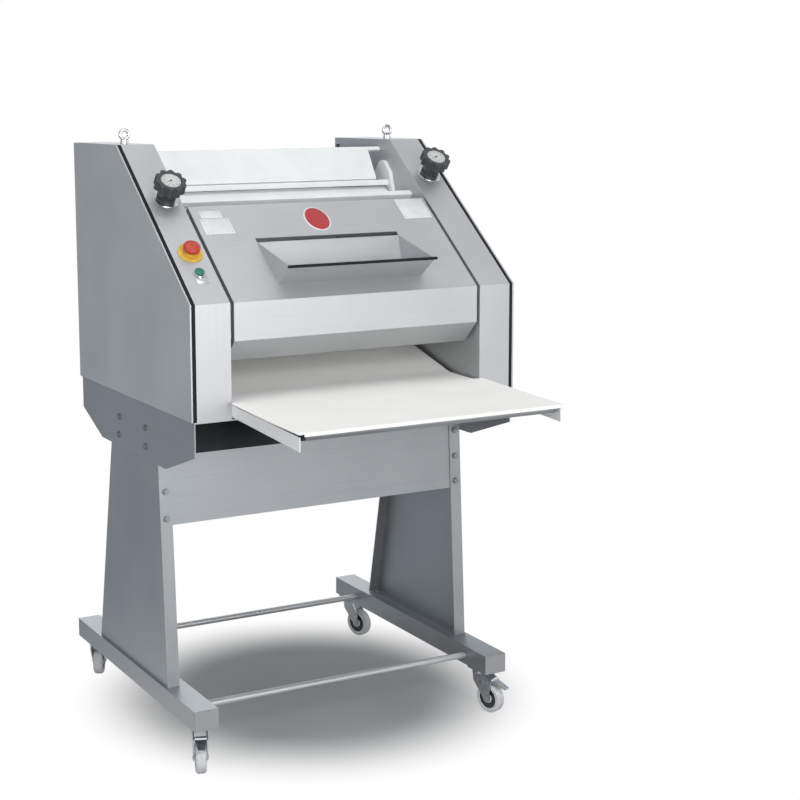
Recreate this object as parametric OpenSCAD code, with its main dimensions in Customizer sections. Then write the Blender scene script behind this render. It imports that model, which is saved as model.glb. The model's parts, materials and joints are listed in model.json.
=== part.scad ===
// Baguette moulder on a wheeled stand: stainless housing with a lift-up guard and a feed tray
// on its sloping front, an infeed chute over two sheeting rollers at the top, a felt moulding
// belt inside and a felt-covered delivery table at the front. Millimetres, Z up.

/* [Housing] */
// Height of the housing top above the floor
housing_top = 1440; // [1420:1:1480]
// Height of the housing from its underside to its top
housing_height = 604; // [590:1:620]
// Share of that height that the sloping front takes up
slope_share = 0.5646; // [0.55:0.0002:0.58]
// Width over the two side covers
housing_width = 856; // [846:1:900]
// Depth of the housing from the upright front to the rear
housing_depth = 735; // [720:1:770]
// Depth of the flat top behind the sloping front
top_depth = 302; // [280:1:320]
// Width of the folded band on each side of the guard
band_width = 85; // [82:1:92]
// Sheet thickness of the covers
sheet = 2; // [1.5:0.1:2.5]

/* [Guard and feed tray] */
// Length of the guard up the sloping front
guard_length = 322; // [312:1:330]
// Clear height of the delivery mouth under the guard
mouth_height = 124; // [115:1:135]
// Depth of the turned-in lower edge of the guard
guard_lip = 52; // [40:1:60]
// Gap between the guard and the band on each side
guard_gap = 9; // [6:0.5:11]
// Width of the feed tray
tray_width = 382; // [340:1:440]
// How far the feed tray stands out from the sloping front
tray_reach = 72; // [55:1:85]

/* [Delivery table] */
// Reach of the delivery table in front of the housing
table_reach = 345; // [300:1:380]
// Height of the felt at the front edge of the table above the housing underside
table_rise = 28; // [24:1:32]
// Thickness of the felt
felt_thickness = 3; // [2:0.5:4]

/* [Works] */
// Diameter of the rollers
roller_diameter = 72; // [66:1:74]
// Thickness of the moulding belt
belt_thickness = 4; // [3:0.5:5]
// Diameter of the roller journals
journal_diameter = 20; // [16:1:22]

/* [Stand] */
// Underside of the foot beams above the floor
caster_height = 110; // [108:1:118]
// Height of a foot beam
foot_height = 48; // [40:1:55]
// Width of a foot beam
foot_width = 60; // [56:1:62]
// Height of the side plates under the housing
base_height = 139; // [125:1:150]
// Plate thickness of the legs and the base
plate = 3; // [2.5:0.1:3.5]
// Diameter of the tie rods
rod_diameter = 16; // [12:1:20]

/* [Casters] */
// Diameter of a wheel
wheel_diameter = 75; // [70:1:78]
// Width of a wheel
wheel_width = 25; // [20:1:26]
// Trail of a wheel behind its swivel
caster_trail = 32; // [28:1:34]

/* [Controls] */
// Diameter of a knob over its lobes
knob_diameter = 76; // [68:1:80]
// Height of a knob above the sloping front
knob_height = 58; // [52:1:62]
// Diameter of the emergency stop plate
stop_plate = 60; // [54:1:66]
// Diameter of the emergency stop head
stop_head = 40; // [34:1:44]
// Diameter of the start button
start_diameter = 22; // [20:1:24]

/* [Hidden] */
$fn = 36;
half = housing_width / 2;
housing_bottom = housing_top - housing_height;
rise = housing_height * slope_share;
fold_height = housing_top - rise;
top_front = housing_depth - top_depth;
slope = norm([top_front, rise]);
tilt = atan2(rise, top_front);
k_top = tan(tilt / 2);
k_fold = tan(45 - tilt / 2);
// across the machine
cover_lip = 4;
gasket = 9;
rear_half = half - cover_lip;
band_out = rear_half - gasket;
band_in = band_out - band_width;
frame_in = band_in + sheet;
frame_out = frame_in + 10;
guard_half = band_in - guard_gap;
base_out = half - 6;
base_in = base_out - plate;
web_in = base_in - plate;
flange_in = base_in - 31;
beam_out = half - 2;
beam_in = beam_out - foot_width;
stem_x = beam_in + 25;
control_x = half - 60;
// along the machine, from the upright front of the housing
rear_in = housing_depth - sheet;
beam_front = 17;
beam_rear = housing_depth + 76;
stem_front = beam_front + 59;
stem_rear = beam_rear - 45;
rod_front = beam_front + 98;
rod_rear = beam_rear - 121;
eye_y = top_front + 87;
turn_fl = -20;
turn_fr = 17;
turn_rl = 152;
turn_rr = 20;
wheel_r = wheel_diameter / 2;
wheel_c = 4;
reach_rl = max(
  wheel_r * -cos(turn_rl) + (wheel_width / 2 - wheel_c) * sin(turn_rl),
  (wheel_r - wheel_c) * -cos(turn_rl) + wheel_width / 2 * sin(turn_rl));
y_rear = max(beam_rear, stem_rear - caster_trail * cos(turn_rl) + reach_rl);
y_front = -table_reach;
front_y = -(y_front + y_rear) / 2;
// heights
beam_top = caster_height + foot_height;
base_bottom = housing_bottom - base_height;
base_corner = base_bottom + 57;
floor_z = housing_bottom - 4;
leg_top = housing_bottom - 36;
guard_low = housing_bottom + mouth_height + guard_lip;
table_height = housing_bottom + table_rise;
// legs, the front edge leans back and the rear edge leans forward as they rise
leg_front_0 = 197;
leg_front_k = 0.0575;
leg_rear_0 = housing_depth - 83;
leg_rear_k = -0.2134;
lean = atan(leg_front_k);
flange_y = plate / cos(lean);
flange_r = plate / cos(atan(leg_rear_k));
// delivery table
nose_r = 8;
nose_c = [nose_r - table_reach, table_height - nose_r];
apron = 20;
bend_y = 120;
bend_z = housing_bottom + 37;
table_end = 300;
table_end_z = bend_z + 0.262 * (table_end - bend_y);
rail_out = band_in;
rail_in = rail_out - 8;
table_front = nose_c[0] + sheet;
seam_y = -151;
stud_y = [40, 90];
// rollers, [y, z]
roll_r = roller_diameter / 2;
journal_r = journal_diameter / 2;
front_sheet_c = up_slope(slope - 152, 94.5);
rear_sheet_c = [front_sheet_c[0] + 78, front_sheet_c[1] + 12];
belt_front_c = [table_end + 35, housing_bottom + 149];
belt_drive_c = [housing_depth - 115, housing_bottom + 149];
belt_top_c = [belt_drive_c[0] - 100, housing_bottom + 284];
axes = [front_sheet_c, rear_sheet_c, belt_front_c, belt_drive_c, belt_top_c];
roller_half = frame_in - 14;
bearing_r = 28;
bearing_width = 12;
run = 0.05;
gap = 0.3;
// drive
motor_c = [belt_drive_c[0] - 60, housing_bottom - 71];
pulley_r = 38;
pulley_half = 7;
gear_half = 60;
gear_low = 52;
motor_r = 56;
shaft_r = 12;
drive_x = frame_out + 33;
drive_run = belt_drive_c - motor_c;
// guard hinge
hinge_s = guard_length - 22;
hinge_d = 34;
hinge_p = up_slope(hinge_s, hinge_d);
hinge_r = 5;
hinge_pin = 16;
hinge_lug = 14;
// feed tray, [distance up the slope, distance off the slope]
tray_half = tray_width / 2;
tray_foot = [50, 0];
tray_rim = [50 - 0.29 * tray_reach, tray_reach];
tray_back = [190, 0];
tray_slot = 204;
tray_low = [96, -85];
tray_low_back = [190 - 104 * tan(90 - tilt), -104];
// controls, [x, distance up the slope]
left_knob_at = [-(control_x - 2), 352];
right_knob_at = [control_x + 16, 412];
stop_at = [-(control_x + 1), 165];
start_at = [-(control_x + 2), 99];
spindle_r = 7;
flange_height = 12;
knob_seat_r = 23;
knob_neck_r = 19;
stop_stem_r = 8;
start_r = start_diameter / 2;
// stand details
over = 9;
bolt_r = 4;
bolt_hole = 4.2;
foot_bolt_x = flange_in + 14;
foot_bolt_y = [leg_front_0 + 22, leg_rear_0 - 26];
base_bolt_at = [
  [leg_rear(housing_bottom - 64) - 52, housing_bottom - 64],
  [leg_rear(housing_bottom - 110) - 55, housing_bottom - 110],
  [leg_front(housing_bottom - 62) + 64, housing_bottom - 62],
  [leg_front(housing_bottom - 108) + 68, housing_bottom - 108]];
panel_bolt_z = [base_bottom, base_bottom - 67, base_bottom - 132];
panel_bolt_x = flange_in + 15;
panel_top = base_bottom + 16;
panel_low = base_bottom - 149;
chamfer_y = housing_depth - 140;
chamfer = atan2(base_corner - base_bottom, rear_in - chamfer_y);
pan_front = leg_front(base_bottom + sheet) + 2 * flange_y + 0.1;
pan_side = leg_rear(base_bottom) + 8;
// housing and infeed details
band_turn = 18;
frame_cut = 40;
chute_plate = 8;
chute_top = [top_front + 59, housing_top - 19];
chute_low = [top_front + 8, housing_top - 101];
chute_half = frame_in - 37;
chute_n = [0.849, -0.528];
chute_strip = [5.3, 8.5];
cheek_in = frame_in - 10;
cheek_low = slope - 121;
cheek_bend = slope - 63;
cheek_top = slope - 26;
cheek_back = -112;
cheek_r = 25;
guide = [16, 14];
guide_gap = 3;
scraper_low = slope - 174;
scraper_high = slope - 158;
board_z = housing_bottom + 86;
board_end = belt_drive_c[0] + 20;
gear_x = frame_in - 92;
lobe_r = knob_diameter * 0.1;
lobe_height = 24;
// caster details
axle_r = 4;
king_r = 6;
king_head = 10;
fork_in = wheel_width / 2 + 2;
pedal_c = [-caster_trail - 8, wheel_diameter + 9.5];
pedal_half = fork_in - 1;
pedal_tip = 8;
pedal_reach = 46;

// Sub-part to draw

// point at a distance up the sloping front and a depth under it, [y, z]
function up_slope(s, d) = [
  s * cos(tilt) + d * sin(tilt),
  fold_height + s * sin(tilt) - d * cos(tilt)];

// outline of the housing seen from the side, drawn in by d from the top, slope and front
function profile(d, rear, low) = [
  [rear, low], [rear, housing_top - d], [top_front + d * k_top, housing_top - d],
  [d, fold_height - d * k_fold], [d, low]];

// strip that follows the top, the slope and the front, between two depths
function strip(a, b, rear, low) = [
  [rear, housing_top - a], [top_front + a * k_top, housing_top - a],
  [a, fold_height - a * k_fold], [a, low], [b, low], [b, fold_height - b * k_fold],
  [top_front + b * k_top, housing_top - b], [rear, housing_top - b]];

// strip that follows the guard from its top edge to the turned-in lower edge
function guard_strip(b) = [
  up_slope(guard_length, 0), [0, fold_height], [0, guard_low],
  [guard_lip, guard_low - guard_lip],
  [guard_lip + b * cos(45), guard_low - guard_lip + b * sin(45)],
  [b, guard_low + b * tan(22.5)], [b, fold_height - b * k_fold], up_slope(guard_length, b)];

function leg_front(z) = leg_front_0 + leg_front_k * (z - beam_top);
function leg_rear(z) = leg_rear_0 + leg_rear_k * (z - beam_top);

// tangent points of a loop round three equal rollers, counter-clockwise
function side_of(p, q, r) = let (l = norm(q - p)) [
  p + r / l * [q[1] - p[1], p[0] - q[0]],
  q + r / l * [q[1] - p[1], p[0] - q[0]]];
function loop_points(a, b, c, r) = concat(side_of(a, b, r), side_of(b, c, r), side_of(c, a, r));

function felt_z(y) = y < bend_y
  ? bend_z + (table_height - bend_z) * (bend_y - y) / (bend_y + table_reach - nose_r)
  : bend_z + 0.262 * (y - bend_y);

module from_front() translate([0, front_y, 0]) children();

// an outline drawn in [y, z] and carried across from x0 to x1
module across(x0, x1) translate([x0, 0, 0]) rotate([90, 0, 90]) linear_extrude(x1 - x0) children();

// a round bar across the machine
module bar(c, r, x0, x1) translate([x0, c[0], c[1]]) rotate([0, 90, 0]) cylinder(r = r, h = x1 - x0);

// frame on the sloping front: y runs up the slope, z stands off it
module on_slope(x, s) translate([x, up_slope(s, 0)[0], up_slope(s, 0)[1]]) rotate([tilt, 0, 0]) children();

module both() {
  children();
  mirror([1, 0, 0]) children();
}

module hole(r) translate([0, 0, -over]) cylinder(r = r, h = 2 * over);

module bolt(r, head, shank) {
  cylinder(r = r * 2.1, h = 1.2);
  translate([0, 0, 1.2]) cylinder(r = r * 1.7, h = head - 1.2, $fn = 6);
  translate([0, 0, -shank]) cylinder(r = r, h = shank);
}

// stand

module foot_beam(s) difference() {
  across(s > 0 ? beam_in : -beam_out, s > 0 ? beam_out : -beam_in) polygon([
    [beam_front + 3, caster_height], [beam_rear - 3, caster_height],
    [beam_rear - 3, beam_top], [beam_front + 3, beam_top]]);
  across(s * (beam_in + beam_out) / 2 - foot_width / 2 + plate,
    s * (beam_in + beam_out) / 2 + foot_width / 2 - plate) polygon([
    [beam_front - over, caster_height + plate], [beam_rear + over, caster_height + plate],
    [beam_rear + over, beam_top - plate], [beam_front - over, beam_top - plate]]);
  for (y = foot_bolt_y) translate([s * foot_bolt_x, y, beam_top]) hole(bolt_hole);
}

module left_foot_beam() color("silver") from_front() foot_beam(-1);

module right_foot_beam() color("silver") from_front() foot_beam(1);

module foot_end_caps() color("silver") from_front() both() for (y = [beam_front, beam_rear - 3])
  across(beam_in, beam_out) polygon([
    [y, caster_height], [y + 3, caster_height], [y + 3, beam_top], [y, beam_top]]);

module tie_rods() color("silver") from_front() {
  bar([rod_front, beam_top - 24], rod_diameter / 2, -beam_in, beam_in);
  bar([rod_rear, beam_top - 26], rod_diameter / 2, -beam_in, beam_in);
}

module leg_front_at(x, z) translate([x, leg_front(z), z]) rotate([90 - lean, 0, 0]) children();

module leg() difference() {
  union() {
    across(web_in, base_in) polygon([
      [leg_front(beam_top), beam_top], [leg_rear(beam_top), beam_top],
      [leg_rear(leg_top), leg_top], [leg_front(leg_top), leg_top]]);
    across(flange_in, base_in) polygon([
      [leg_front(beam_top), beam_top], [leg_front(beam_top) + flange_y, beam_top],
      [leg_front(leg_top) + flange_y, leg_top], [leg_front(leg_top), leg_top]]);
    across(flange_in, base_in) polygon([
      [leg_rear(beam_top), beam_top], [leg_rear(beam_top) - flange_r, beam_top],
      [leg_rear(leg_top) - flange_r, leg_top], [leg_rear(leg_top), leg_top]]);
    across(flange_in, base_in) polygon([
      [leg_front(beam_top), beam_top], [leg_rear(beam_top), beam_top],
      [leg_rear(beam_top + plate), beam_top + plate], [leg_front(beam_top + plate), beam_top + plate]]);
  }
  for (p = base_bolt_at) bar(p, bolt_hole, web_in - over, base_in + over);
  for (z = panel_bolt_z) leg_front_at(panel_bolt_x, z) hole(bolt_hole);
  for (y = foot_bolt_y) translate([foot_bolt_x, y, beam_top]) hole(bolt_hole);
}

module right_leg() color("silver") from_front() leg();

module left_leg() color("silver") from_front() mirror([1, 0, 0]) leg();

module cross_panel() color("silver") from_front() difference() {
  across(-web_in, web_in) polygon([
    [leg_front(panel_low) + flange_y, panel_low], [leg_front(panel_low) + 2 * flange_y, panel_low],
    [leg_front(panel_top) + 2 * flange_y, panel_top], [leg_front(panel_top) + flange_y, panel_top]]);
  for (x = [-panel_bolt_x, panel_bolt_x])
    for (z = panel_bolt_z) leg_front_at(x, z) hole(bolt_hole);
}

module stand_bolts() color("gray") from_front() both() {
  for (z = panel_bolt_z) leg_front_at(panel_bolt_x, z) bolt(bolt_r, 6, 12);
  for (y = foot_bolt_y) translate([foot_bolt_x, y, beam_top + plate]) bolt(bolt_r, 6, 12);
}

// base under the housing

module base_plate() difference() {
  across(base_in, base_out) polygon([
    [1, base_corner + 2], [175, base_bottom], [chamfer_y, base_bottom],
    [rear_in, base_corner], [rear_in, housing_bottom], [1, housing_bottom]]);
  for (p = base_bolt_at) bar(p, bolt_hole, base_in - over, base_out + over);
}

module right_base_plate() color("silver") from_front() base_plate();

module left_base_plate() color("silver") from_front() mirror([1, 0, 0]) base_plate();

module base_bolts() color("gray") from_front() both() for (p = base_bolt_at)
  translate([base_out, p[0], p[1]]) rotate([0, 90, 0]) bolt(bolt_r, 5, 10);

// floor of the housing, with a pan under it that closes the base behind the cross panel
module base_floor() color("silver") from_front() {
  difference() {
    across(-base_in, base_in) polygon([
      [sheet, floor_z], [rear_in, floor_z], [rear_in, housing_bottom], [sheet, housing_bottom]]);
    translate([drive_x - 12, motor_c[0] - 45, floor_z - over]) cube([24, 130, 3 * over]);
  }
  across(-base_in, base_in) polygon([
    [rear_in, floor_z], [rear_in, base_corner], [chamfer_y, base_bottom], [pan_side, base_bottom],
    [pan_side, base_bottom + sheet], [chamfer_y - sheet * tan(chamfer / 2), base_bottom + sheet],
    [rear_in - sheet, base_corner + sheet * tan(45 - chamfer / 2)], [rear_in - sheet, floor_z]]);
  across(3 - flange_in, flange_in - 3) polygon([
    [pan_front, base_bottom], [pan_side, base_bottom],
    [pan_side, base_bottom + sheet], [pan_front, base_bottom + sheet]]);
}

// housing

module side_frame() {
  difference() {
    across(frame_in, frame_out) polygon([
      [rear_in, housing_bottom], [rear_in, housing_top - sheet - frame_cut],
      [rear_in - frame_cut, housing_top - sheet], [top_front + sheet * k_top, housing_top - sheet],
      [sheet, fold_height - sheet * k_fold], [sheet, housing_bottom]]);
    for (c = axes) bar(c, journal_r + 1, frame_in - over, frame_out + over);
  }
  bar(hinge_p, hinge_r, frame_in - hinge_pin, frame_in);
}

module right_side_frame() color("lightgray") from_front() side_frame();

module left_side_frame() color("lightgray") from_front() mirror([1, 0, 0]) side_frame();

module band() {
  across(band_in, band_out) polygon(strip(0, sheet, rear_in, housing_bottom));
  across(band_in, band_in + sheet) polygon(strip(0, band_turn, rear_in, housing_bottom));
  across(band_out - sheet, band_out) polygon(strip(0, band_turn, rear_in, housing_bottom));
}

module eye_holes(s) translate([s * (control_x + 4), eye_y, housing_top]) hole(5.2);

module right_band() color("gainsboro") from_front() difference() {
  band();
  eye_holes(1);
  on_slope(right_knob_at[0], right_knob_at[1]) hole(spindle_r + 2);
}

module left_band() color("gainsboro") from_front() difference() {
  mirror([1, 0, 0]) band();
  eye_holes(-1);
  on_slope(left_knob_at[0], left_knob_at[1]) hole(spindle_r + 2);
  on_slope(stop_at[0], stop_at[1]) hole(stop_stem_r + 4.2);
  on_slope(start_at[0], start_at[1]) hole(start_r + 2.2);
}

module gaskets() color("black") from_front() both()
  across(band_out, band_out + gasket) polygon(strip(0.4, 10, rear_in, housing_bottom));

module side_cover() difference() {
  across(rear_half, half) polygon(profile(0, housing_depth, housing_bottom));
  across(rear_half - over, half - sheet)
    polygon(profile(sheet, housing_depth - sheet, housing_bottom + sheet));
}

module right_side_cover() color("silver") from_front() side_cover();

module left_side_cover() color("silver") from_front() mirror([1, 0, 0]) side_cover();

module rear_cover() color("silver") from_front() translate([0, housing_depth, 0]) rotate([90, 0, 0])
  linear_extrude(sheet) polygon([
    [-rear_half, floor_z], [rear_half, floor_z], [rear_half, housing_top], [band_in, housing_top],
    [band_in, housing_top - 65], [-band_in, housing_top - 65], [-band_in, housing_top],
    [-rear_half, housing_top]]);

module eye_bolts() color("silver") from_front() both() translate([control_x + 4, eye_y, housing_top]) {
  cylinder(r = 10, h = 10);
  translate([0, 0, -16]) cylinder(r = 5, h = 16);
  translate([0, 0, 23]) rotate([90, 0, 0]) rotate_extrude() translate([11, 0]) circle(r = 4, $fn = 20);
}

// guard and feed tray

module guard() color("gainsboro") from_front() difference() {
  union() {
    across(-guard_half, guard_half) polygon(guard_strip(sheet));
    across(-guard_half, guard_half) polygon([
      up_slope(guard_length, 0), up_slope(guard_length, 20),
      up_slope(guard_length - sheet, 20), up_slope(guard_length - sheet, 0)]);
    both() across(guard_half - sheet, guard_half) polygon(guard_strip(16));
    both() across(guard_half - sheet, guard_half) polygon([
      up_slope(hinge_s - hinge_lug, 1), up_slope(hinge_s + hinge_lug, 1),
      up_slope(hinge_s + hinge_lug, hinge_d), up_slope(hinge_s - hinge_lug, hinge_d)]);
    both() bar(hinge_p, hinge_lug, guard_half - sheet, guard_half);
  }
  both() bar(hinge_p, hinge_r + run, guard_half - over, guard_half + over);
  on_slope(0, 0) translate([-tray_half, tray_foot[0], -over])
    cube([tray_width, tray_slot - tray_foot[0], 2 * over]);
}

module feed_tray() color("gainsboro") from_front() on_slope(0, 0) {
  both() across(tray_half - sheet, tray_half) polygon([
    tray_foot, tray_rim, tray_back, tray_low_back, tray_low]);
  across(-tray_half, tray_half) polygon([
    tray_foot, tray_rim, tray_rim + [sheet, 0], tray_foot + [sheet, 0]]);
  across(-tray_half, tray_half) polygon([
    tray_foot, tray_foot + [sheet, 0], tray_low + [sheet, 0], tray_low]);
  across(-tray_half, tray_half) polygon([
    tray_back, tray_low_back, tray_low_back - [sheet, 0], tray_back - [sheet, 0]]);
  across(-tray_half - 4, tray_half + 4) translate(tray_rim + [1, 0]) circle(r = 3, $fn = 20);
}

// infeed

module infeed_chute() color("white") from_front() {
  across(-chute_half, chute_half) polygon([
    chute_low, chute_low + chute_plate * chute_n, chute_top + chute_plate * chute_n, chute_top]);
  across(-frame_in, frame_in) polygon([
    chute_top, chute_top + chute_plate * chute_n,
    chute_top + chute_plate * chute_n - chute_strip, chute_top - chute_strip]);
}

// a rounded cheek on each side of the chute, the bar between them and the scraper of the front roller
module infeed_cheeks() color("white") from_front() {
  both() on_slope(0, 0) across(cheek_in, frame_in) {
    polygon([
      [cheek_low, cheek_back], [cheek_low, cheek_back + 11], [cheek_bend, -60], [cheek_top, -55],
      [cheek_top + cheek_r, -55 - cheek_r], [cheek_top + cheek_r, cheek_back]]);
    translate([cheek_top, -55 - cheek_r]) circle(r = cheek_r);
  }
  across(-cheek_in, cheek_in) translate(rear_sheet_c + [-24, roll_r + guide_gap]) square(guide);
  on_slope(0, 0) across(-frame_in, frame_in) polygon([
    [scraper_low, -37], [scraper_high, -37], [scraper_high, -51], [scraper_low, -51]]);
}

// rollers and belt

module roller(c, r) {
  bar(c, r, -roller_half, roller_half);
  bar(c, journal_r, -frame_out - bearing_width - 2, frame_out + bearing_width + 2);
}

module front_sheeting_roller() color("white") from_front() roller(front_sheet_c, roll_r);

module rear_sheeting_roller() color("white") from_front() roller(rear_sheet_c, roll_r);

module upper_belt_roller() color("silver") from_front() roller(belt_top_c, roll_r);

module front_belt_roller() color("silver") from_front() roller(belt_front_c, roll_r);

module drive_roller() color("silver") from_front() {
  roller(belt_drive_c, roll_r);
  bar(belt_drive_c, journal_r, frame_out, drive_x + 9);
  pulley(belt_drive_c);
}

module loop_area(r) {
  polygon(loop_points(belt_front_c, belt_drive_c, belt_top_c, r));
  for (c = [belt_front_c, belt_drive_c, belt_top_c]) translate(c) circle(r = r, $fn = 48);
}

module moulding_belt() color("ivory") from_front() difference() {
  across(8 - roller_half, roller_half - 8) loop_area(roll_r + gap + belt_thickness);
  across(-roller_half, roller_half) loop_area(roll_r + gap);
}

module pressure_board() color("ivory") from_front() {
  across(-roller_half, roller_half) polygon([
    [table_end + 4, board_z - 10], [board_end, board_z - 10], [board_end + 50, board_z + 30],
    [board_end + 44, board_z + 36], [board_end - 4, board_z], [table_end + 4, board_z]]);
  for (y = [table_end + 50, board_end - 80]) across(-frame_in, frame_in) polygon([
    [y, board_z - 22], [y + 30, board_z - 22], [y + 30, board_z - 10], [y, board_z - 10]]);
}

module roller_bearings() color("dimgray") from_front() both() for (c = axes) difference() {
  bar(c, bearing_r, frame_out, frame_out + bearing_width);
  bar(c, journal_r + run, frame_out - over, frame_out + bearing_width + over);
}

// drive

module gear_motor() color("slategray") from_front() difference() {
  union() {
    across(gear_x, frame_in - 2) polygon([
      [motor_c[0] - gear_half, motor_c[1] - gear_low], [motor_c[0] + gear_half, motor_c[1] - gear_low],
      [motor_c[0] + gear_half, floor_z], [motor_c[0] - gear_half, floor_z]]);
    bar(motor_c, motor_r, gear_x - 230, gear_x);
    bar(motor_c, motor_r - 8, gear_x - 262, gear_x - 230);
  }
  bar(motor_c, shaft_r + run, frame_in - 52, frame_in + over);
}

// grooved pulley with a flange on each side of the belt
module pulley(c) {
  bar(c, pulley_r, drive_x - pulley_half, drive_x + pulley_half);
  for (x = [drive_x - pulley_half, drive_x + pulley_half - 2]) bar(c, pulley_r + 5, x, x + 2);
}

module motor_pulley() color("gray") from_front() {
  bar(motor_c, shaft_r, frame_in - 51, drive_x + 9);
  pulley(motor_c);
}

module belt_area(r) {
  translate([0, -r]) square([norm(drive_run), 2 * r]);
  circle(r = r);
  translate([norm(drive_run), 0]) circle(r = r);
}

module drive_belt() color("dimgray") from_front() across(drive_x - 4, drive_x + 4)
  translate(motor_c) rotate(atan2(drive_run[1], drive_run[0])) difference() {
    belt_area(pulley_r + gap + 6);
    belt_area(pulley_r + gap);
  }

// controls on the bands

module knob() {
  translate([0, 0, flange_height + gap]) cylinder(
    r1 = knob_diameter * 0.27, r2 = knob_diameter * 0.4,
    h = knob_height - lobe_height - flange_height - gap);
  difference() {
    translate([0, 0, knob_height - lobe_height]) linear_extrude(lobe_height) {
      circle(r = knob_diameter * 0.43);
      for (a = [0 : 36 : 324])
        rotate(a) translate([knob_diameter / 2 - lobe_r, 0]) circle(r = lobe_r, $fn = 16);
    }
    translate([0, 0, knob_height - 4]) cylinder(r = knob_diameter * 0.33, h = 9);
  }
  translate([0, 0, -50]) cylinder(r = spindle_r, h = 70);
}

module dial() translate([0, 0, knob_height - 4]) cylinder(r = knob_diameter * 0.315, h = 3);

module left_knob() color("black") from_front() on_slope(left_knob_at[0], left_knob_at[1]) knob();

module right_knob() color("black") from_front() on_slope(right_knob_at[0], right_knob_at[1]) knob();

module left_dial() color("white") from_front() on_slope(left_knob_at[0], left_knob_at[1]) dial();

module right_dial() color("white") from_front() on_slope(right_knob_at[0], right_knob_at[1]) dial();

module knob_flanges() color("black") from_front() for (p = [left_knob_at, right_knob_at])
  on_slope(p[0], p[1]) difference() {
    union() {
      cylinder(r = knob_seat_r, h = 8);
      cylinder(r = knob_neck_r, h = flange_height);
    }
    translate([0, 0, -over]) cylinder(r = spindle_r + run, h = 30);
  }

module stop_base() color("gold") from_front() on_slope(stop_at[0], stop_at[1]) difference() {
  union() {
    cylinder(r = stop_plate / 2, h = 3);
    cylinder(r = stop_stem_r + 6, h = 7.5);
    translate([0, 0, -22]) cylinder(r = stop_stem_r + 4, h = 22);
  }
  translate([0, 0, -40]) cylinder(r = stop_stem_r + run, h = 60);
}

module stop_button() color("red") from_front() on_slope(stop_at[0], stop_at[1]) {
  translate([0, 0, 13]) cylinder(r = stop_head / 2, h = 9);
  translate([0, 0, 22]) cylinder(r1 = stop_head / 2, r2 = stop_head / 2 - 4, h = 5);
  translate([0, 0, -20]) cylinder(r = stop_stem_r, h = 34);
}

module start_bezel() color("dimgray") from_front() on_slope(start_at[0], start_at[1]) difference() {
  union() {
    cylinder(r = start_r + 3.5, h = 4);
    translate([0, 0, -22]) cylinder(r = start_r + 2, h = 22);
  }
  translate([0, 0, -40]) cylinder(r = start_r + run, h = 60);
}

module start_button() color("green") from_front() on_slope(start_at[0], start_at[1])
  translate([0, 0, -20]) cylinder(r = start_r, h = 28);

// delivery table

function table_line(a, b, y0) = [
  [y0, felt_z(y0) - a], [bend_y, bend_z - a], [table_end, table_end_z - a],
  [table_end, table_end_z - b], [bend_y, bend_z - b], [y0, felt_z(y0) - b]];

module table_felt() color("ivory") from_front() {
  across(-rail_in + 2, rail_in - 2) polygon(table_line(0, felt_thickness, nose_c[0]));
  across(-rail_out - 5, rail_out + 5) translate(nose_c) difference() {
    circle(r = nose_r);
    circle(r = nose_r - felt_thickness);
    translate([0, -2 * nose_r]) square(4 * nose_r);
  }
}

module table_tray() color("silver") from_front() {
  across(-rail_in, rail_in) polygon(table_line(felt_thickness, felt_thickness + 3, nose_c[0]));
  bar(nose_c, nose_r - felt_thickness, -rail_out - 5, rail_out + 5);
  across(-rail_out, rail_out) translate(nose_c - [0, apron]) square([sheet, apron]);
}

// a rail with a ledge under the tray on each side, a seam in it and two studs to the side frame
module table_rails() color("silver") from_front() both() {
  difference() {
    union() {
      across(rail_in, rail_out) polygon([
        [table_front, housing_bottom - 13], [table_front, housing_bottom + 22],
        [0, housing_bottom + 36], [bend_y, housing_bottom + 36],
        [bend_y, housing_bottom + 5], [0, housing_bottom + 5]]);
      across(rail_in - 10, rail_in) polygon([
        [table_front, felt_z(table_front) - felt_thickness - 3],
        [bend_y, bend_z - felt_thickness - 3], [bend_y, bend_z - felt_thickness - 6],
        [table_front, felt_z(table_front) - felt_thickness - 6]]);
    }
    translate([rail_out - 0.8, seam_y, housing_bottom - 99]) cube([over, 1.4, 300]);
    bar(nose_c, nose_r - felt_thickness, rail_in - 19, rail_out + over);
  }
  for (y = stud_y) bar([y, housing_bottom + 20], 8, rail_out, frame_in);
}

// casters

module at_caster(x, y, turn) translate([x, y, 0]) rotate(turn) children();

module caster_plate() {
  translate([-25, -25, caster_height - 4]) cube([50, 50, 4]);
  translate([0, 0, caster_height - 15]) cylinder(r = king_r, h = 12);
  translate([0, 0, caster_height - 18]) cylinder(r = king_head, h = 5.4);
}

module caster_plates() color("silver") from_front() both() for (y = [stem_front, stem_rear])
  translate([stem_x, y, 0]) caster_plate();

module fork(pedal) {
  difference() {
    translate([0, 0, caster_height - 12.3]) cylinder(r = 22, h = 8);
    translate([0, 0, caster_height - 30]) cylinder(r = king_r + run, h = 40);
  }
  difference() {
    both() across(fork_in, fork_in + 3) {
      polygon([
        [14, caster_height - 6], [-16, caster_height - 6],
        [pedal ? pedal_c[0] - 6 : -caster_trail - 8, pedal ? pedal_c[1] : wheel_diameter - 12],
        [-caster_trail - 9, wheel_r], [-caster_trail + 9, wheel_r], [10, wheel_diameter + 2]]);
      translate([-caster_trail, wheel_r]) circle(r = 9);
    }
    translate([0, 0, caster_height - 4.3]) cylinder(r = 60, h = 20);
    translate([0, 0, caster_height - 18 - gap]) cylinder(r = king_head + gap, h = 5.4 + gap);
  }
  bar([-caster_trail, wheel_r], axle_r, -fork_in - 5, fork_in + 5);
  if (pedal) bar(pedal_c, 3, -fork_in - 3, fork_in + 3);
}

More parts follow.
